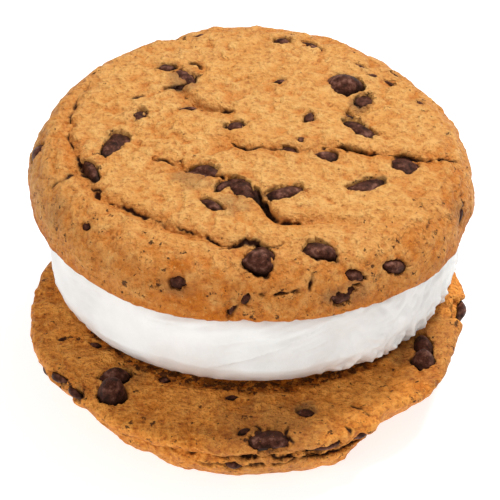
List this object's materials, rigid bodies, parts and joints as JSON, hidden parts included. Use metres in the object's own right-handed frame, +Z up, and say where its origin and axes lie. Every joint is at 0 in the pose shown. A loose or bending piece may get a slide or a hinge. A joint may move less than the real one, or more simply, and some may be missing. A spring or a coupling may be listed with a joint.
{
  "type": "whoopie pie",
  "caption": "Thick round sandwich of two soft chocolate chip cookies with a deep layer of white whipped cream between their flat faces.",
  "frame": {"origin": "on the surface it rests on, under the middle of the outline's box", "axes": "+Z up through the layers; the front, the side to which the lower cookie has slid, is -Y; +X is to the right seen from the front"},
  "size_m": [0.0801, 0.0891, 0.0459],
  "materials": {
    "upper_cookie_crust": "baked golden-tan cookie crust, matte, with low lumps, creases and chips of dark chocolate",
    "lower_cookie_crust": "baked golden-brown cookie crust, a little darker than the upper one, matte and cragged at its rim",
    "whipped_cream": "smooth white whipped cream, softly glossy, with faint knife smears",
    "dark_chocolate": "semi-sweet chocolate chips, satin, bloomed a little by baking"
  },
  "bodies": {
    "root": {"bottom_cookie": "lower_cookie_crust", "cream_filling": "whipped_cream", "top_cookie": "upper_cookie_crust"}
  },
  "joints": []
}
